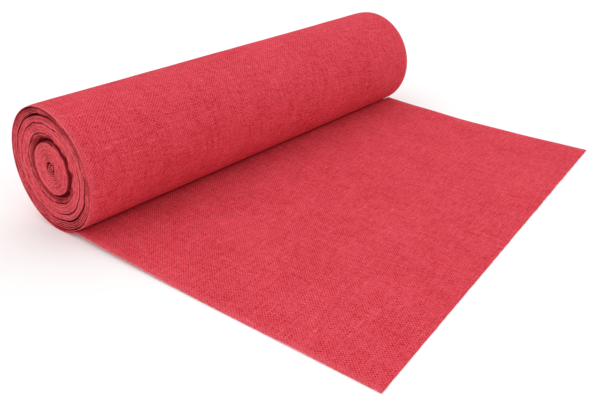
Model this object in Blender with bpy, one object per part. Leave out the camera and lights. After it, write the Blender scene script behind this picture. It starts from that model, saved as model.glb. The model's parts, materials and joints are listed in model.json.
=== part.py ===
"""A bolt of coarse woven cloth, wound without a core, with one end laid out flat.

The cloth is one long web.  It lies flat on the floor, lifts a little where it meets the roll, runs
under the roll, goes up the back, over the top and down the front, and then winds inwards to a
small eye.  Each object here is a stretch of that web: single layers are strips carried along a
path, and the turns of the roll are grouped into bands, the groups that show as rings on its end.

Metres, +Z up.  +Y runs along the roll and +X is the way the cloth is laid out.  The near side is
the one at -Y.  The origin is on the floor, under the middle of the object's box.
"""
import math

import bmesh
import bpy

# Driving dimensions of the cloth
CLOTH_WIDTH = 0.9144            # selvedge to selvedge, the length of the roll
CLOTH_THICKNESS = 0.0011        # one layer
LAID_LENGTH = 0.662             # roll axis to the free end, along the near side
CUT_SKEW = 0.100                # how much shorter the laid cloth is along the far side
FOLD_DISTANCE = 0.530           # roll axis to the line where the free end folds back
LIFT_DISTANCE = 0.460           # roll axis to where the laid cloth has come down flat
NEAR_LIFT = 0.011               # height of its underside where it leaves the roll, near side
FAR_LIFT = 0.018                # the same on the far side

# Driving dimensions of the roll, from the outside in
ROLL_RADIUS = 0.1105            # outside of the outermost turn
OUTER_BAND_DEPTH = 0.0155       # turns outside the outer slack
OUTER_SLACK = 0.0034            # loose space between the outer and the middle turns
INNER_SLACK = 0.0054            # loose space round the inner coil
INNER_COIL_RADIUS = 0.0464      # outside of the inner coil
EYE_RADIUS = 0.0120             # empty middle of the inner coil
OUTER_BANDS = 3                 # groups of turns in each band
MIDDLE_BANDS = 5
INNER_BANDS = 4

# The web where it crosses the slack, and its end folded double in the eye
OUTER_CROSSING_START = math.radians(100)
OUTER_CROSSING_ARC = math.radians(150)
INNER_CROSSING_START = math.radians(120)
INNER_CROSSING_ARC = math.radians(120)
FOLD_RADIUS = 0.0014            # inside of the hairpin bend

# Clearances
TOUCHING_GAP = 0.0003           # between two stretches of web that meet
LAYER_GAP = 0.0005              # between one group of turns and the next
RUNNING_CLEARANCE = 0.0004      # between the turning roll and its outermost turn
EYE_CLEARANCE = 0.0030          # between the hairpin's ends and the inner coil
TUCK_MARGIN = math.radians(2.5)     # between the outermost turn's end and the laid cloth

FACETS = 48                     # sides of every full turn
CONTACT_STEPS = 10              # sides of the laid cloth where it follows the roll
LIFT_STEPS = 12                 # sides of its slope down to the floor
BEND_STEPS = 8                  # sides of the hairpin bend
SHARP_ANGLE = math.radians(30)

# Worked out from the dimensions above
HALF_WIDTH = CLOTH_WIDTH / 2
BORE_RADIUS = ROLL_RADIUS - CLOTH_THICKNESS
WOUND_RADIUS = BORE_RADIUS * math.cos(math.pi / FACETS) - RUNNING_CLEARANCE
OUTER_BAND_BORE = WOUND_RADIUS - OUTER_BAND_DEPTH
MIDDLE_RADIUS = OUTER_BAND_BORE - OUTER_SLACK
MIDDLE_BORE = INNER_COIL_RADIUS + INNER_SLACK
AXIS_X = (ROLL_RADIUS - LAID_LENGTH) / 2
BOTTOM = -math.pi / 2           # angle of the roll's lowest line

ROLL_AXIS = (AXIS_X, 0.0, ROLL_RADIUS)
FOLD_AXIS = (AXIS_X + FOLD_DISTANCE, 0.0, CLOTH_THICKNESS)


def contact_angle(lift):
    """Arc of the roll, from its lowest line, that the laid cloth follows up to this height."""
    return math.acos(1 - lift / ROLL_RADIUS)


def cloth_material(name, shade):
    """Matt dyed cloth.  Shade scales the dye's colour."""
    material = bpy.data.materials.new(name)
    material.use_nodes = True
    surface = material.node_tree.nodes["Principled BSDF"]
    dye = (0.64, 0.052, 0.075)
    surface.inputs["Base Color"].default_value = (*(shade * part for part in dye), 1.0)
    surface.inputs["Roughness"].default_value = 0.9
    surface.inputs["Metallic"].default_value = 0.0
    return material


def new_object(name, bm, origin, shade):
    """Turn a bmesh into a smooth shaded object with its own material, standing at origin."""
    bmesh.ops.recalc_face_normals(bm, faces=bm.faces)
    mesh = bpy.data.meshes.new(name)
    bm.to_mesh(mesh)
    bm.free()
    mesh.shade_smooth()
    mesh.set_sharp_from_angle(angle=SHARP_ANGLE)
    mesh.materials.append(cloth_material(name, shade))
    thing = bpy.data.objects.new(name, mesh)
    thing.location = origin
    bpy.context.scene.collection.objects.link(thing)
    return thing


def both_faces(path):
    """The points of a path of (x, z, nx, nz), then those one thickness away along (nx, nz)."""
    one = [(x, z) for x, z, _, _ in path]
    other = [(x + nx * CLOTH_THICKNESS, z + nz * CLOTH_THICKNESS) for x, z, nx, nz in path]
    return one + other


def strip(near_path, far_path=None):
    """A bmesh of one layer of web whose near selvedge follows near_path and far one far_path."""
    bm = bmesh.new()
    place = bm.verts.layers.int.new("place")
    verts = [bm.verts.new((x, -HALF_WIDTH, z)) for x, z in both_faces(near_path)]
    for number, vert in enumerate(verts):
        vert[place] = number
    count = len(near_path)
    for first in range(count - 1):
        second = first + 1
        bm.faces.new((verts[first], verts[second], verts[count + second], verts[count + first]))
    grown = bmesh.ops.extrude_face_region(bm, geom=bm.faces[:])
    targets = both_faces(far_path or near_path)
    for item in grown["geom"]:
        if isinstance(item, bmesh.types.BMVert):
            x, z = targets[item[place]]
            item.co = (x, HALF_WIDTH, z)
    return bm


def arc(radius_at, start, sweep, steps=None):
    """Path points round the roll axis, each on the layer's inner face, with outward normals.

    Angles run from +X towards +Z.  radius_at gives the radius for the share of the sweep done.
    """
    steps = steps or max(4, round(abs(sweep) / (2 * math.pi / FACETS)))
    points = []
    for step in range(steps + 1):
        share = step / steps
        angle = start + sweep * share
        radius = radius_at(share)
        away = (math.cos(angle), math.sin(angle))
        points.append((radius * away[0], radius * away[1], *away))
    return points


def ring(inner, outer):
    """A bmesh of a group of turns: a rectangle spun once round the roll axis."""
    bm = bmesh.new()
    corners = [(inner, -HALF_WIDTH), (outer, -HALF_WIDTH), (outer, HALF_WIDTH), (inner, HALF_WIDTH)]
    verts = [bm.verts.new((radius, side, 0)) for radius, side in corners]
    edges = [bm.edges.new((verts[place - 1], verts[place])) for place in range(len(verts))]
    bmesh.ops.spin(bm, geom=verts + edges, cent=(0, 0, 0), axis=(0, 1, 0), dvec=(0, 0, 0),
                   angle=2 * math.pi, steps=FACETS, use_merge=True)
    return bm


def bands(name, inner, outer, count, shade):
    """Fill the space from inner to outer with groups of turns of equal depth, 1 the outermost."""
    depth = (outer - inner - LAYER_GAP * (count - 1)) / count
    for place in range(count):
        low = inner + place * (depth + LAYER_GAP)
        new_object(f"{name}_{count - place}", ring(low, low + depth), ROLL_AXIS,
                   shade - 0.03 * place)


def laid_path(lift):
    """Up the roll to the height of lift, and down to the floor along a parabola.

    The path is the layer's upper face, measured from the roll axis.
    """
    contact = contact_angle(lift)
    path = arc(lambda share: BORE_RADIUS, BOTTOM, contact, CONTACT_STEPS)
    path[0] = (TOUCHING_GAP, *path[0][1:])
    leave = ROLL_RADIUS * math.sin(contact)
    for step in range(1, LIFT_STEPS + 1):
        share = step / LIFT_STEPS
        under = lift * (1 - share) ** 2 - ROLL_RADIUS
        path.append((leave + (LIFT_DISTANCE - leave) * share, under + CLOTH_THICKNESS, 0, -1))
    path.append((FOLD_DISTANCE, CLOTH_THICKNESS - ROLL_RADIUS, 0, -1))
    return path


def laid_cloth():
    """The laid out cloth from under the roll to the fold line, lifted more on the far side."""
    new_object("laid_cloth", strip(laid_path(NEAR_LIFT), laid_path(FAR_LIFT)), ROLL_AXIS, 1.0)


def free_end_flap():
    """The flat cloth past the fold line, cut askew so that its far side is shorter."""
    length = LAID_LENGTH - FOLD_DISTANCE
    near = [(TOUCHING_GAP, 0, 0, -1), (length, 0, 0, -1)]
    far = [(TOUCHING_GAP, 0, 0, -1), (length - CUT_SKEW, 0, 0, -1)]
    new_object("free_end_flap", strip(near, far), FOLD_AXIS, 0.98)


def outer_turn():
    """The outermost turn, from the floor up the back, over the top and down the front."""
    opening = contact_angle(max(NEAR_LIFT, FAR_LIFT)) + TUCK_MARGIN
    path = arc(lambda share: BORE_RADIUS, BOTTOM, opening - 2 * math.pi)
    new_object("outer_turn", strip(path), ROLL_AXIS, 1.0)


def crossing(name, inner, outer, start, sweep, shade):
    """One layer of web that moves over from one side of a slack space to the other."""
    low = inner + LAYER_GAP
    high = outer * math.cos(math.pi / FACETS) - LAYER_GAP - CLOTH_THICKNESS
    path = arc(lambda share: low + (high - low) * share, start, sweep)
    new_object(name, strip(path), ROLL_AXIS, shade)


def inner_end_fold():
    """The inner end of the web, folded double like a hairpin and standing in the eye."""
    reach = EYE_RADIUS - EYE_CLEARANCE
    bend_centre = reach - FOLD_RADIUS - CLOTH_THICKNESS
    path = [(-FOLD_RADIUS, -reach, -1, 0)]
    for step in range(BEND_STEPS + 1):
        angle = math.pi * (1 - step / BEND_STEPS)
        away = (math.cos(angle), math.sin(angle))
        path.append((FOLD_RADIUS * away[0], bend_centre + FOLD_RADIUS * away[1], *away))
    path.append((FOLD_RADIUS, -reach, 1, 0))
    new_object("inner_end_fold", strip(path), ROLL_AXIS, 0.7)


def build():
    for old in list(bpy.data.objects):
        bpy.data.objects.remove(old, do_unlink=True)
    laid_cloth()
    free_end_flap()
    outer_turn()
    bands("outer_windings", OUTER_BAND_BORE, WOUND_RADIUS, OUTER_BANDS, 0.95)
    crossing("outer_crossing", MIDDLE_RADIUS, OUTER_BAND_BORE,
             OUTER_CROSSING_START, OUTER_CROSSING_ARC, 0.8)
    bands("middle_windings", MIDDLE_BORE, MIDDLE_RADIUS, MIDDLE_BANDS, 0.92)
    crossing("inner_crossing", INNER_COIL_RADIUS, MIDDLE_BORE,
             INNER_CROSSING_START, INNER_CROSSING_ARC, 0.75)
    bands("inner_windings", EYE_RADIUS, INNER_COIL_RADIUS, INNER_BANDS, 0.88)
    inner_end_fold()


build()
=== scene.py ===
import json
import math

import bpy
import numpy as np
from mathutils import Matrix, Vector


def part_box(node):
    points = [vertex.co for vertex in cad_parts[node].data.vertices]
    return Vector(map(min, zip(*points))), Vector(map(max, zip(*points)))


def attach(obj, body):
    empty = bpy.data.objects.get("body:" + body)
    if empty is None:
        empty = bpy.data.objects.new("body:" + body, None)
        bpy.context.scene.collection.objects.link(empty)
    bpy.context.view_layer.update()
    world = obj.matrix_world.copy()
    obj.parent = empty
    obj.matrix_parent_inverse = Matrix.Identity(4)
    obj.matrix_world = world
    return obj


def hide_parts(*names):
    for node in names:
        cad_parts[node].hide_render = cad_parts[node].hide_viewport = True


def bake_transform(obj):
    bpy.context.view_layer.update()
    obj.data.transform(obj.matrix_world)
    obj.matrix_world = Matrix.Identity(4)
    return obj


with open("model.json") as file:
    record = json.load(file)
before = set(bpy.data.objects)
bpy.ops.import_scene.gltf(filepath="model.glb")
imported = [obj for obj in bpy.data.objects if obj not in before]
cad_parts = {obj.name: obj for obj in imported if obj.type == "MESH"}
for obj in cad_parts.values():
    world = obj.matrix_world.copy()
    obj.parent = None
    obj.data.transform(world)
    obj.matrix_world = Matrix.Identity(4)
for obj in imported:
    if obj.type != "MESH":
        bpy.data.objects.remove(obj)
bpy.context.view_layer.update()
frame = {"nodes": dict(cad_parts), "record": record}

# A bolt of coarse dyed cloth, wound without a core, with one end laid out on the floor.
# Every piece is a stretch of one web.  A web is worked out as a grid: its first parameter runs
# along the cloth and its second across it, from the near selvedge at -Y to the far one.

# The frame's own places
joints = {joint["name"]: joint for joint in frame["record"]["behaviour"]["joints"]}
AXIS_X, _, RADIUS = joints["roll_turn"]["pos_m"]
FOLD_X = joints["free_end_fold"]["pos_m"][0]
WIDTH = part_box("outer_turn")[1].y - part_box("outer_turn")[0].y
HALF = WIDTH / 2
END_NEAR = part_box("free_end_flap")[1].x

# The cloth
WEB = 0.00095                   # thickness of one layer
PICK = WIDTH / 338              # from one weft thread to the next
END = WIDTH / 352               # from one warp thread to the next
CUT_SKEW = 0.100                # the laid cloth is this much shorter along its far side
NEAR_LIFT = 0.011               # height of its underside where it leaves the roll
FAR_LIFT = 0.018
LIFT_END = 0.460                # roll axis to where it has come down flat

# The roll.  Its turns are counted along the web from where the wound turns begin.
LAP = 0.0013                    # how far the outer turn winds inwards in one turn
TUCK = math.radians(12)         # the outer turn ends this far before the lowest line
TUCK_DIP = 0.0009               # how much deeper it goes where it passes behind the laid cloth
TUCK_GAP = 0.00015              # between its end and the first wound turn
START = math.radians(250)       # angle where the wound turns begin
OUTER_TURNS = 8
OUTER_CROSSING = 150 / 360      # turns in which the web crosses the outer slack
MIDDLE_TURNS = 29 + 220 / 360
INNER_CROSSING = 120 / 360      # turns in which it crosses the slack round the inner coil
INNER_TURNS = 28
CURL_TURNS = 2.45               # loops in the eye
SLACK = 0.0022                  # how far the outer windings hang in at the slack place
SLACK_ANGLE = math.radians(48)
SOFT_EDGE = np.array([0.3, 0.6, 0.85, 0.985]) * math.pi / 2     # steps of the thinned cut end
SHARP_ANGLE = math.radians(62)  # edges sharper than this aren't smoothed over


def ring(node):
    """Smallest and largest distance of a solid's corners from the roll axis."""
    corners = np.array([vert.co for vert in frame["nodes"][node].data.vertices])
    reach = np.hypot(corners[:, 0] - AXIS_X, corners[:, 2] - RADIUS)
    return reach.min(), reach.max()


# The turn counts where the wound web changes pitch, and the radius of the middle of its thickness
# at each of them: the outer windings' start and end (0 and 8), the middle's (8.4 and 38.0), and
# the inner coil's (38.4 and 66.4)
KNOTS = np.cumsum([0, OUTER_TURNS, OUTER_CROSSING, MIDDLE_TURNS, INNER_CROSSING, INNER_TURNS])
KNOT_RADII = [
    RADIUS - LAP - TUCK_DIP - WEB - TUCK_GAP - WEB / 2,
    ring("outer_windings_3")[0] + WEB / 2,
    ring("middle_windings_1")[1] - WEB / 2,
    ring("middle_windings_5")[0] + 0.0006 + WEB / 2,
    ring("inner_windings_1")[1] - 0.0004 - WEB / 2,
    ring("inner_windings_4")[0] + 0.0012 + WEB / 2,
]
# How far the middle of the turns lies to +X of the roll axis, and above it, at each of them
KNOT_SIDE = [0, 0.0025, 0.0025, 0.0016, 0.0031, 0.0034]
KNOT_RISE = [0, 0.0028, 0.0028, 0.0034, 0.0036, 0.0036]


# ---------------------------------------------------------------- shapes

def ease(share):
    """0 up to 0, 1 from 1, and 3s^2 - 2s^3 between them."""
    share = np.clip(share, 0, 1)
    return share * share * (3 - 2 * share)


def waves(seed, count, terms):
    """Sum of count cosines of random phase, about -1 to 1.

    Each term is (values, lowest, highest): the cosine's angle adds values times a random number
    between the two, a whole one where both bounds are whole numbers.
    """
    rng = np.random.default_rng(seed)
    total = 0
    for _ in range(count):
        angle = rng.uniform(0, 2 * math.pi)
        for values, lowest, highest in terms:
            if isinstance(lowest, int):
                angle = angle + values * rng.integers(lowest, highest + 1)
            else:
                angle = angle + values * rng.uniform(lowest, highest)
        total = total + np.cos(angle)
    return total / math.sqrt(count * 1.2)


def bump_at(angle, centre, width):
    """A hump of height 1 at an angle round the roll, exp(-(distance / width)^2)."""
    off = (angle - centre + math.pi) % (2 * math.pi) - math.pi
    return np.exp(-(off / width) ** 2)


def by_turn(turn, values, arc=0.5):
    """Each turn's own value, held for most of the turn and eased to the next turn's over an arc.

    The place of that arc creeps round the roll from turn to turn.
    """
    count = turn * 1.021
    whole = np.clip(np.floor(count).astype(int), 0, len(values) - 2)
    step = ease((count - whole - 1 + arc) / arc)
    return values[whole] + (values[whole + 1] - values[whole]) * step


def set_back(seed, outer, middle, inner):
    """Set-backs of all turns: a pattern in millimetres, repeated in each band and made uneven."""
    rng = np.random.default_rng(seed)
    tiles = [np.resize(outer, 8), np.resize(middle, 30), np.resize(inner, 40)]
    depth = np.concatenate(tiles)
    uneven = depth * rng.uniform(0.6, 1.25, depth.size) + rng.uniform(-0.25, 0.35, depth.size)
    return uneven * 0.001


NEAR_DEPTHS = set_back(71, [0.5, 5.2, 0.2, 5.8, 0.3, 5.0, 0.2, 5.6],
                       [0.2, 0.0, 0.5, 2.2, 1.3, 0.1, 0.6, 0.2, 5.2, 4.2, 0.3, 0.1, 0.9, 2.6, 0.4],
                       [0.2, 0.0, 0.5, 2.2, 0.1, 0.4, 2.9])
FAR_DEPTHS = set_back(72, [0.4, 3.0, 0.2, 2.6], [0.4, 1.0, 2.8], [0.4, 0.0, 1.6])


def near_set(angle, turn):
    """How far the near selvedge stands inside the end plane.

    The turns stand out in groups with crevices between them.  The middle ones form a bowl that
    is deepest and most ragged beside the inner coil, and the inner coil is a plug that stands
    forward again.  Short waves round the roll make every edge uneven, and longer ones let the
    crevices wander from one turn to its neighbours.
    """
    fine = waves(11, 14, [(angle, 9, 34), (turn, -1.6, 1.6)])
    broad = waves(12, 9, [(angle, 4, 13), (turn, -0.30, 0.30)])
    outer = 1 - ease((turn - OUTER_TURNS) / 0.4)
    inner = ease((turn - 38.40) / 0.22)
    middle = 1 - outer - inner
    bowl = (0.5 * ease((turn - 25) / 12.5) + 0.4 * ease((turn - 35.5) / 1.5)) * middle
    ragged = 0.0019 * waves(14, 8, [(angle, 5, 15), (turn, -0.7, 0.7)])
    shade = bump_at(angle, math.radians(70), math.radians(46)) * (1 - ease((turn - OUTER_TURNS) / 6))
    core = ease((turn - 50) / 10)
    swap = 0.50 * waves(15, 8, [(angle, 2, 6), (turn, -0.06, 0.06)])
    swap = swap * ease((turn - 7) / 3) * (1 - 0.85 * core)
    return (
        0.0010 + 0.00035 * fine + 0.0007 * broad * (1 - 0.6 * inner) + 0.0030 * shade
        + by_turn(turn + swap, NEAR_DEPTHS) * (0.8 + core * inner + 0.2 * middle)
        + bowl * (0.0056 + ragged)
    )


def far_set(angle, turn):
    """The same at the far end, where the turns are wound a little more evenly."""
    fine = waves(21, 12, [(angle, 8, 30), (turn, -1.6, 1.6)])
    broad = waves(22, 8, [(angle, 2, 9), (turn, -0.35, 0.35)])
    bowl = ease((turn - 30) / 8) * (1 - ease((turn - 38.2) / 0.6))
    return 0.0014 + 0.0004 * fine + 0.0006 * broad + 0.0036 * bowl + by_turn(turn, FAR_DEPTHS)


def edge_wander(along):
    """How far the selvedges of the single layers stray to the side, along the web."""
    return 0.0012 + 0.0003 * waves(31, 6, [(along, 4.0, 16.0)])


def across(rows):
    """Widths across the web: close together at both selvedges and even between them."""
    edge = np.array([0, 0.0012, 0.003, 0.006, 0.011, 0.019])
    inner = np.linspace(0.030, WIDTH - 0.030, rows)
    return np.concatenate([edge, inner, WIDTH - edge[::-1]])


def mesh_piece(name, points, faces, uv, depth, finish):
    """A smooth shaded closed mesh object, with its UV map in metres and its edges' set-back."""
    corners = np.concatenate(faces)
    mesh = bpy.data.meshes.new(name)
    mesh.from_pydata(points, [], faces)
    layer = mesh.uv_layers.new(name="web")
    layer.data.foreach_set("uv", uv[corners].astype(np.float32).ravel())
    layer = mesh.attributes.new("set_back", "FLOAT", "POINT")
    layer.data.foreach_set("value", depth.astype(np.float32))
    mesh.shade_smooth()
    mesh.set_sharp_from_angle(angle=SHARP_ANGLE)
    mesh.materials.append(finish)
    piece = bpy.data.objects.new(name, mesh)
    bpy.context.scene.collection.objects.link(piece)
    return piece


def grid_normals(middle):
    """Unit normals of a grid of points: the cross product of its two directions."""
    along = np.gradient(middle, axis=0)
    side = np.gradient(middle, axis=1)
    normal = np.cross(side, along)
    return normal / np.linalg.norm(normal, axis=2, keepdims=True)


def web(name, middle, uv, finish, half=None, depth=None):
    """One layer of cloth about a grid of points, closed all round.

    The two faces are the grid moved half a thickness along its normals, and each selvedge is a
    half round between them.  The first and last rows are closed by strips of faces from one
    face to the other.
    """
    count, rows = middle.shape[:2]
    half = np.full((count, 1), WEB / 2) if half is None else half
    depth = np.zeros((count, rows)) if depth is None else depth
    sides = np.concatenate([depth, np.repeat(depth[:, -1:], 3, axis=1), depth[:, ::-1],
                            np.repeat(depth[:, :1], 3, axis=1)], axis=1)
    normal = grid_normals(middle)
    lift = normal * half[:, :, None]
    first = middle[:, 0] - middle[:, 1]
    last = middle[:, -1] - middle[:, -2]
    first = first / np.linalg.norm(first, axis=1, keepdims=True) * half[:, :1]
    last = last / np.linalg.norm(last, axis=1, keepdims=True) * half[:, -1:]
    turn = np.array([0.25, 0.5, 0.75])[None, :, None] * math.pi
    far_rim = (middle[:, -1:] + np.cos(turn) * lift[:, -1:] + np.sin(turn) * last[:, None])
    near_rim = (middle[:, :1] - np.cos(turn) * lift[:, :1] + np.sin(turn) * first[:, None])
    loop = np.concatenate([middle + lift, far_rim, (middle - lift)[:, ::-1], near_rim], axis=1)
    wrap = np.sin(turn[:, :, 0]) * WEB / 2
    far_uv = np.repeat(uv[:, -1:], 3, axis=1) + np.stack([0 * wrap, wrap], axis=-1)
    near_uv = np.repeat(uv[:, :1], 3, axis=1) - np.stack([0 * wrap, wrap], axis=-1)
    loop_uv = np.concatenate([uv, far_uv, uv[:, ::-1], near_uv], axis=1)
    size = loop.shape[1]
    row = np.arange(count - 1)[:, None] * size
    place = np.arange(size)[None, :]
    after = (place + 1) % size
    quads = np.stack([row + place, row + after, row + size + after, row + size + place], axis=-1)
    low = np.arange(rows - 1)
    back = size - 4 - low
    start = np.stack([low, back, back - 1, low + 1], axis=-1)
    rims = [[rows - 1, rows + 3, rows + 2, rows + 1, rows],
            [0, size - 1, size - 2, size - 3, size - 4]]
    end = (start + (count - 1) * size)[:, ::-1]
    faces = [*quads.reshape(-1, 4), *start, *end]
    faces += [np.array(rim) for rim in rims]
    faces += [np.array(rim)[::-1] + (count - 1) * size for rim in rims]
    return mesh_piece(name, loop.reshape(-1, 3), faces, loop_uv.reshape(-1, 2), sides.ravel(),
                      finish)


def skewed(along, width):
    """UV of the web in metres, its weft leaning as the cut end does."""
    return np.stack([along - CUT_SKEW * width / WIDTH, width + 0 * along], axis=-1)


# ---------------------------------------------------------------- the laid cloth

def lift_height(x, width):
    """Height of the middle of the laid cloth, x from the roll axis.

    It is the lower of two curves, with their corner rounded: the underside of the roll's outer
    turn, and a parabola that falls to the floor.
    """
    radius = RADIUS - WEB / 2
    under = RADIUS - np.sqrt(np.maximum(radius ** 2 - x ** 2, 0))
    lift = NEAR_LIFT + (FAR_LIFT - NEAR_LIFT) * width / WIDTH
    leave = RADIUS * np.sin(np.arccos(1 - lift / RADIUS))
    slope = lift * np.clip(1 - (x - leave) / (LIFT_END - leave), 0, None) ** 2 + WEB / 2
    soft = 0.0010       # size of the rounding
    return -soft * np.log(np.exp(-under / soft) + np.exp(-slope / soft))


def lie(x, width):
    """Grid of points of the laid cloth: the lift, low rolling waves and slightly raised sides."""
    height = lift_height(x, width)
    free = ease((x - 0.08) / 0.12)
    rolling = 1 + waves(41, 9, [(x, 8.0, 30.0), (width, -14.0, 14.0)])
    edge = np.minimum(width, WIDTH - width)
    side = np.exp(-edge / 0.016) * (1 + waves(42, 7, [(x, 14.0, 46.0), (width, 0.0, 3.0)]))
    height = height + free * np.clip(0.00035 * rolling + 0.0003 * side, 0, None)
    stray = edge_wander(x) * (1 - 2 * width / WIDTH)
    return np.stack([AXIS_X + x, -HALF + width + stray + 0 * x, height], axis=-1)


def laid_grid():
    """The laid cloth from the roll's lowest line to the fold line, closest rows at the crease."""
    reach = FOLD_X - AXIS_X
    close, wide = 0.036, 0.080  # the crease lies between these two
    x = np.concatenate([np.arange(0, close, 0.003), np.arange(close, wide, 0.0008),
                        np.linspace(wide, reach, 88)])[:, None]
    width = across(96)[None, :]
    middle = lie(x + 0 * width, width + 0 * x)
    step = np.linalg.norm(np.diff(middle[:, :, [0, 2]], axis=0), axis=2)
    along = -np.concatenate([np.zeros((1, middle.shape[1])), np.cumsum(step, axis=0)])
    return middle, along, width


def free_grid(along_fold):
    """The cloth past the fold line, out to its askew cut end, which is thinned to a soft edge."""
    width = across(96)[None, :]
    reach = FOLD_X - AXIS_X
    last = END_NEAR - AXIS_X - CUT_SKEW * width / WIDTH - reach
    last = last - 0.0003 * (1 + waves(43, 9, [(width, 20.0, 260.0)]))
    bend = 0.016                # close rows from the fold line to here
    band = np.arange(0, bend, 0.001)[:, None]
    share = ease(np.linspace(0, 1, 34) * 0.5 + 0.5) * 2 - 1
    body = bend + (last - bend - WEB / 2) * share[:, None]
    tail = last - WEB / 2 * (1 - np.sin(SOFT_EDGE))[:, None]
    past = np.concatenate([band + 0 * width, body, tail])
    half = np.full(past.shape, WEB / 2)
    half[-len(SOFT_EDGE):] *= np.cos(SOFT_EDGE)[:, None]
    middle = lie(reach + past, width + 0 * past)
    return middle, along_fold - past, width, half


# ---------------------------------------------------------------- the roll

def around(angle, radius):
    """Points at an angle and radius round the roll axis, as x and z."""
    return AXIS_X + radius * np.cos(angle), RADIUS + radius * np.sin(angle)


def path_length(x, z):
    """Length of a path up to each of its points."""
    return np.concatenate([[0], np.cumsum(np.hypot(np.diff(x), np.diff(z)))])


def soft_end(width):
    """How much the turns pull in towards the axis close to the two ends."""
    return 0.0011 * np.exp(-(np.minimum(width, WIDTH - width) / 0.006) ** 1.3)


def outer_turn_grid():
    """The outermost turn: a spiral from the lowest line up the back, over and down the front."""
    span = 2 * math.pi - TUCK
    turned = np.linspace(0, span, 300)[:, None]
    width = across(70)[None, :]
    angle = -math.pi / 2 - turned
    calm = ease(turned / 0.5) * ease((span - turned) / 1.1)
    swell = 1 + waves(51, 12, [(turned, 0.8, 3.2), (width, -16.0, 16.0)])
    tight = 1 + waves(52, 10, [(turned, 0.3, 1.6), (width, 25.0, 70.0)])
    radius = RADIUS - WEB / 2 - LAP * turned / (2 * math.pi)
    radius = radius + calm * np.clip(0.0004 * swell + 0.00012 * tight, 0, None)
    radius = radius - TUCK_DIP * ease((turned - span + 0.62) / 0.45)
    radius = radius - soft_end(width) * ease(turned / 0.3)
    x, z = around(angle, radius)
    along = RADIUS * turned
    y = -HALF + width + edge_wander(-along) * (1 - 2 * width / WIDTH)
    return np.stack([x, y + 0 * x, z], axis=-1), along + 0 * width, width


def wound_grid(first, last, sides):
    """The wound web from one turn count to another.

    Its radius falls in straight lines between the knots.  Long waves, nearly alike on
    neighbouring turns, take it out of round, the outer windings hang in at the slack place, and
    the two selvedges follow near_set and far_set.
    """
    steps = max(2, round((last - first) * sides)) + 1
    turn = np.linspace(first, last, steps)[:, None]
    angle = START - 2 * math.pi * turn
    width = across(3)[None, :]
    radius = np.interp(turn, KNOTS, KNOT_RADII)
    dip = 0.00030 * waves(61, 8, [(angle, 2, 5), (turn, -0.05, 0.05)]) * ease(turn / 4)
    dip = dip + 0.00022 * waves(62, 10, [(angle, 6, 14), (turn, -0.16, 0.16)]) * ease(turn)
    slack = SLACK * bump_at(angle, SLACK_ANGLE, math.radians(34)) * (1 - ease((turn - 7.6) / 0.5))
    radius = radius + dip - slack * ease(turn / 0.3) - soft_end(width) * (1 - ease(turn / 8))
    x, z = around(angle, radius)
    x = x + np.interp(turn, KNOTS, KNOT_SIDE)
    z = z + np.interp(turn, KNOTS, KNOT_RISE)
    near = near_set(angle, turn)
    far = far_set(angle, turn)
    y = -HALF + width + near * (1 - width / WIDTH) - far * (width / WIDTH)
    radii = np.array(KNOT_RADII)
    reached = np.concatenate([[0], np.cumsum(np.diff(KNOTS) * (radii[1:] + radii[:-1]) / 2)])
    begin = 2 * math.pi * (RADIUS + np.interp(first, KNOTS, reached))
    inside = 5                  # a column clear of the pulled in selvedge
    along = begin + path_length(x[:, inside], z[:, inside])[:, None]
    depth = np.where(width < HALF, near, far)
    return np.stack([x, y, z], axis=-1), along + 0 * width, width, depth


def curl_grid():
    """The inner end of the web, nested in the eye: loops that get narrower and end in a fold.

    Each loop is an ellipse.  Its two half axes shrink at their own rates, so that the last loop
    is a slit, and its middle moves a little to the side.
    """
    steps = 420
    share = np.linspace(0, 1, steps)[:, None]
    turn = KNOTS[-1] + share * CURL_TURNS
    angle = START - 2 * math.pi * turn
    width = across(3)[None, :]
    begin = KNOT_RADII[-1] - 0.0003
    wide = begin + (0.0014 - begin) * share ** 0.9
    tall = begin + (0.0052 - begin) * share ** 1.1
    lean = math.radians(-24)
    over = wide * np.cos(angle - lean)
    up = tall * np.sin(angle - lean)
    x = AXIS_X + KNOT_SIDE[-1] + 0.0018 * ease(share * 2.2)
    x = x + over * math.cos(lean) - up * math.sin(lean)
    z = RADIUS + KNOT_RISE[-1] - 0.0006 * ease(share * 2)
    z = z + over * math.sin(lean) + up * math.cos(lean)
    near = near_set(angle, turn) * (1 - 0.6 * share) + 0.0016 * share
    far = far_set(angle, turn)
    y = -HALF + width + near * (1 - width / WIDTH) - far * (width / WIDTH)
    weave_start = 0.3           # where on the web's UV map the curl lies
    along = weave_start + path_length(x[:, 0], z[:, 0])[:, None]
    depth = np.where(width < HALF, near, far)
    return np.stack([x + 0 * width, y, z + 0 * width], axis=-1), along + 0 * width, width, depth


# ---------------------------------------------------------------- finishes

class Wire:
    """A number in a material.  Arithmetic on it adds the Math nodes that work it out."""

    def __init__(self, finish, socket):
        self.finish = finish
        self.socket = socket

    def math(self, operation, *others):
        return self.finish.node("Math", {"operation": operation}, dict(enumerate([self, *others])))

    def __add__(self, other):
        return self.math("ADD", other)

    def __sub__(self, other):
        return self.math("SUBTRACT", other)

    def __rsub__(self, other):
        return self.finish.node("Math", {"operation": "SUBTRACT"}, {0: other, 1: self})

    def __mul__(self, other):
        return self.math("MULTIPLY", other)

    def __truediv__(self, other):
        return self.math("DIVIDE", other)

    def __pow__(self, other):
        return self.math("POWER", other)

    def __abs__(self):
        return self.math("ABSOLUTE")

    __radd__ = __add__
    __rmul__ = __mul__


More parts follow.
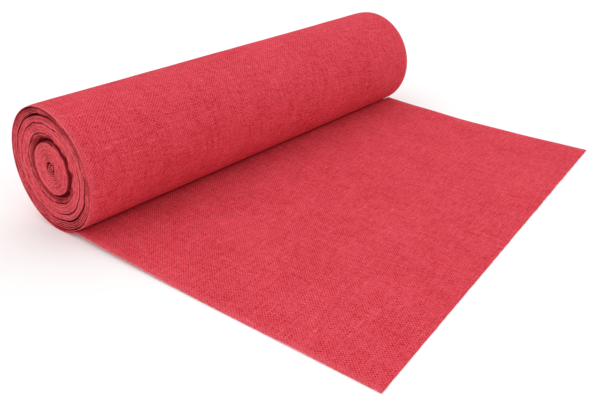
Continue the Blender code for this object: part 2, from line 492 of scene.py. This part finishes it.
class Finish:
    """A material under construction."""

    def __init__(self, name):
        self.material = bpy.data.materials.new(name)
        self.material.use_nodes = True
        self.tree = self.material.node_tree
        self.tree.nodes.clear()

    def node(self, kind, settings=None, values=None, output=0):
        """Add a node, apply its settings, then fill its sockets; gives the wanted output, if any."""
        made = self.tree.nodes.new("ShaderNode" + kind)
        for key, value in (settings or {}).items():
            setattr(made, key, value)
        for key, value in (values or {}).items():
            if isinstance(value, Wire):
                self.tree.links.new(value.socket, made.inputs[key])
            else:
                made.inputs[key].default_value = value
        return Wire(self, made.outputs[output]) if made.outputs else None

    def point(self, x, y, z=0.0):
        return self.node("CombineXYZ", values={0: x, 1: y, 2: z})

    def noise(self, place, scale, detail=2.0):
        return self.node("TexNoise", values={"Vector": place, "Scale": scale, "Detail": detail})

    def ramp(self, value, low, high):
        """0 below low, 1 above high, eased between."""
        return self.node("MapRange", {"interpolation_type": "SMOOTHSTEP"},
                         {0: value, 1: low, 2: high, 3: 0.0, 4: 1.0})

    def mix(self, share, first, second):
        """Two numbers mixed."""
        return first + (second - first) * share

    def tint(self, share, first, second):
        """Two colours mixed."""
        return self.node("Mix", {"data_type": "RGBA"}, {0: share, 6: first, 7: second}, 2)

    def surface(self, values):
        """Close the material with a Principled BSDF of these socket values; gives the material."""
        shader = self.node("BsdfPrincipled", values=values)
        self.node("OutputMaterial", values={"Surface": shader})
        return self.material


def rgb(red, green, blue):
    return (red, green, blue, 1.0)


def woven(name, deep, bright, rim_tones_and_highlight, shaded):
    """Plain weave of uneven yarns on the web's UV map.

    a counts weft threads along the cloth and b counts warp threads across it.  The sign of
    sin(pi a) sin(pi b) says which of them lies on top, and each thread is a rounded ridge.
    Every thread has its own thickness and tone, which change slowly along it.  The rim is the
    selvedge's edge in two tones, the lighter one partly painted highlight, and shaded is how
    much painted shade darkens the faces between the turns.
    Edges that are set back from the end of the roll get painted shade, darker the further back.
    """
    weave = Finish(name)
    uv = weave.node("UVMap", {"uv_map": "web"})
    u = weave.node("SeparateXYZ", values={0: uv}, output=0)
    v = weave.node("SeparateXYZ", values={0: uv}, output=1)
    # the threads and which of them is on top
    bend = weave.noise(uv, 26.0, 1.0)
    sway = weave.noise(weave.point(v, u, 3.7), 31.0, 1.0)
    a = (u + (bend - 0.5) * 0.0034) / PICK
    b = (v + (sway - 0.5) * 0.0030) / END
    weft_wave = (a * math.pi).math("SINE")
    warp_wave = (b * math.pi).math("SINE")
    weft_arch = abs(weft_wave)
    warp_arch = abs(warp_wave)
    on_top = weave.ramp(weft_wave * warp_wave, -0.12, 0.12)
    weft_yarn = weave.noise(weave.point(a.math("FLOOR") * 1.37, v * 34.0, 5.1), 1.0, 3.0)
    warp_yarn = weave.noise(weave.point(b.math("FLOOR") * 1.71, u * 28.0, 9.3), 1.0, 3.0)
    yarn = weave.mix(on_top, weft_yarn, warp_yarn)
    weft_ridge = weft_arch ** 1.4 * warp_arch ** 0.3
    warp_ridge = warp_arch ** 1.4 * weft_arch ** 0.3
    ridge = weave.mix(on_top, weft_ridge, warp_ridge)
    fibre = weave.noise(weave.point(u, v, 0.0), 900.0, 2.0)
    cloud = weave.noise(uv, 9.0, 3.0)
    check = weft_wave * warp_wave
    cell = weave.node("TexWhiteNoise", {"noise_dimensions": "3D"}, {
        "Vector": weave.point(a.math("FLOOR"), b.math("FLOOR"), 0.5)})
    # painted shade in the gaps between the yarns and painted highlight on their crowns, and check
    # paints warp-up and weft-up cells as if lit differently; each thread's own tone, slubs, fibres
    share = (0.14 + check * 0.32 + ridge * (0.66 + (cell - 0.5) * 0.60) + (yarn - 0.5) * 1.05
             + (cloud - 0.5) * 0.30 + (fibre - 0.5) * 0.26)
    colour = weave.tint(share.math("MINIMUM", 1.0).math("MAXIMUM", 0.0), deep, bright)
    slub = weave.ramp(yarn, 0.64, 0.78)
    colour = weave.tint(slub * 0.30, colour, rgb(0.93, 0.32, 0.36))
    # the selvedges, with painted sheen, painted highlight and painted shade along them
    side = v.math("MINIMUM", WIDTH - v)
    # band paints a paler pink sheen along both selvedges
    band = weave.ramp(side, 0.014, 0.006)
    colour = weave.tint(band * 0.14, colour, rgb(0.82, 0.20, 0.24))
    rim = weave.ramp(side, 0.0013, 0.0002)
    if shaded:
        # painted shade on the faces just inside the selvedges, between the turns of the roll
        inside = weave.ramp(side, 0.013, 0.006) * weave.ramp(side, 0.0012, 0.0032)
        colour = weave.tint(inside * shaded, colour, rgb(0.24, 0.004, 0.009))
    tuft = weave.noise(weave.point(u * 120.0, v * 60.0, 1.9), 1.0, 2.0)
    arc = weave.noise(weave.point(u * 7.0, v * 9.0, 6.1), 1.0, 2.0)
    rim_share = weave.ramp(tuft * 0.5 + arc * 0.5, 0.36, 0.62)
    # painted shade on edges set back from the end of the roll, darker the deeper they lie
    depth = weave.node("Attribute", {"attribute_name": "set_back"}, output=2)
    recess_painted_shade = weave.ramp(depth, 0.0014, 0.0058)
    # the rim's two tones mixed at random: its fuzz, the lighter one partly painted highlight
    rim_painted_light = weave.tint(rim_share, rim_tones_and_highlight[0], rim_tones_and_highlight[1])
    rim_painted_light = weave.tint(recess_painted_shade * 0.80, rim_painted_light, rgb(0.26, 0.006, 0.012))
    colour = weave.tint(rim * 0.85, colour, rim_painted_light)
    height = ridge * (0.55 + yarn * 0.9) + check * 0.35 + fibre * 0.22 + rim * (tuft - 0.5) * 1.2
    bump = weave.node("Bump", values={"Strength": 0.8, "Distance": 0.0005, "Height": height})
    roughness = 0.95 - ridge * 0.12
    return weave.surface({
        "Base Color": colour, "Roughness": roughness, "Normal": bump, "Sheen Weight": 0.02,
        "Sheen Roughness": 0.45, "Sheen Tint": rgb(1.0, 0.62, 0.64), "Specular IOR Level": 0.05})


# ---------------------------------------------------------------- the pieces

# DEEP, the weave's darkest tone, is mostly painted shade in the gaps between the yarns
DEEP = rgb(0.48, 0.008, 0.019)          # between the yarns
# the rims' two tones: one near the cloth's own red, and a lighter pink that is partly painted
# highlight
RIM_TONES_AND_HIGHLIGHT = (rgb(0.70, 0.055, 0.075), rgb(1.0, 0.20, 0.235))
cloth = woven("laid_cloth_weave", DEEP, rgb(0.97, 0.126, 0.168), RIM_TONES_AND_HIGHLIGHT, 0)
turns = woven("wound_cloth_weave", DEEP, rgb(0.96, 0.120, 0.160), RIM_TONES_AND_HIGHLIGHT, 0.8)


def declare(piece, body, node, length, area=None):
    """Attach a piece to its body, if it has one, and hide the solid it stands for.

    length and area, its cut size, are not used.
    """
    if body:
        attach(piece, body)
    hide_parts(node)


def wound_piece(name, body, node, grid):
    middle, along, width, depth = grid
    piece = web(name, middle, skewed(along, width), turns, depth=depth)
    declare(piece, body, node, float(along.max() - along.min()))


def laid_out():
    """The laid cloth, and the free end past the fold line out to its cut end."""
    middle, along, width = laid_grid()
    laid = web("laid_sheet", middle, skewed(along, width), cloth)
    laid_length = float(-along[-1].mean())
    middle, along, width, half = free_grid(along[-1:])
    free = web("free_end_sheet", middle, skewed(along, width), cloth, half)
    free_length = END_NEAR - FOLD_X
    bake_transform(laid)
    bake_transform(free)
    declare(laid, None, "laid_cloth", laid_length)
    declare(free, None, "free_end_flap", free_length,
            area=WIDTH * (free_length - CUT_SKEW / 2))


def roll():
    """The outermost turn, the groups of turns, the two crossings and the curl in the eye."""
    middle, along, width = outer_turn_grid()
    outer = web("outer_turn_sheet", middle, skewed(along, width), cloth)
    # family, body, groups, first turn, turns in a group, last turn, steps round one turn
    groups = (("outer_windings", "wound_roll", 3, KNOTS[0], OUTER_TURNS / 3, KNOTS[1], 180),
              ("middle_windings", "middle_coil", 5, KNOTS[2], 6, KNOTS[3], 150),
              ("inner_windings", "inner_coil", 4, KNOTS[4], INNER_TURNS / 4, KNOTS[5], 110))
    for family, body, count, first, turns_each, last, sides in groups:
        for group in range(count):
            begin = first + group * turns_each
            end = last if group == count - 1 else begin + turns_each
            wound_piece(f"{family}_coil_{group + 1}", body, f"{family}_{group + 1}",
                        wound_grid(begin, end, sides))
    wound_piece("outer_crossing_sheet", "wound_roll", "outer_crossing",
                wound_grid(KNOTS[1], KNOTS[2], 180))
    wound_piece("inner_crossing_sheet", "middle_coil", "inner_crossing",
                wound_grid(KNOTS[3], KNOTS[4], 150))
    wound_piece("inner_end_curl", "inner_coil", "inner_end_fold", curl_grid())
    declare(outer, "outer_turn", "outer_turn", float(along.max()))


laid_out()
roll()

# ---------------------------------------------------------------- floor, light and camera

def lay_floor():
    """A pale matt plane, a little below the cloth."""
    finish = Finish("pale_floor")
    grain = finish.noise(finish.node("TexCoord", output=3), 3.0)
    pale = finish.tint(grain, rgb(0.90, 0.90, 0.90), rgb(0.92, 0.92, 0.92))
    material = finish.surface({
        "Base Color": pale, "Roughness": 0.9, "Specular IOR Level": 0.0,
        "Emission Color": rgb(1.0, 1.0, 1.0), "Emission Strength": 0.07})
    reach, height = 12, -0.0002
    corners = [(-reach, -reach, height), (reach, -reach, height), (reach, reach, height),
               (-reach, reach, height)]
    mesh = bpy.data.meshes.new("floor")
    mesh.from_pydata(corners, [], [(0, 1, 2, 3)])
    mesh.materials.append(material)
    floor = bpy.data.objects.new("floor", mesh)
    bpy.context.scene.collection.objects.link(floor)


def light_studio():
    """Even white light from all round, and one large soft lamp overhead."""
    world = bpy.data.worlds.new("studio")
    world.use_nodes = True
    background = world.node_tree.nodes["Background"]
    background.inputs["Color"].default_value = rgb(1.0, 1.0, 1.0)
    background.inputs["Strength"].default_value = 0.95
    bpy.context.scene.world = world
    lamp = bpy.data.lights.new("key", "SUN")
    lamp.energy = 0.45
    lamp.angle = math.radians(55)
    key = bpy.data.objects.new("key", lamp)
    key.rotation_euler = Vector((0.35, 0.10, -1.0)).to_track_quat("-Z", "Y").to_euler()
    bpy.context.scene.collection.objects.link(key)


def stand_camera():
    """A camera beyond the near end of the roll, its place given in widths of the cloth."""
    forward = Vector((-0.58035, 0.68679, -0.43762)).normalized()
    upward = Vector((-0.27366, 0.34165, 0.89910))
    right = forward.cross(upward).normalized()
    upward = right.cross(forward)
    view = bpy.data.cameras.new("camera")
    view.sensor_width = 36.0
    view.lens = 44.43
    view.clip_start = 0.05
    view.clip_end = 60.0
    camera = bpy.data.objects.new("camera", view)
    turned = Matrix((right, upward, -forward)).transposed().to_4x4()
    place = Vector((AXIS_X + 1.13393 * WIDTH, -HALF - 0.64452 * WIDTH, 0.64498 * WIDTH))
    camera.matrix_world = Matrix.Translation(place) @ turned
    bpy.context.scene.collection.objects.link(camera)
    bpy.context.scene.camera = camera


lay_floor()
light_studio()
stand_camera()
bpy.context.scene.view_settings.view_transform = "Standard"
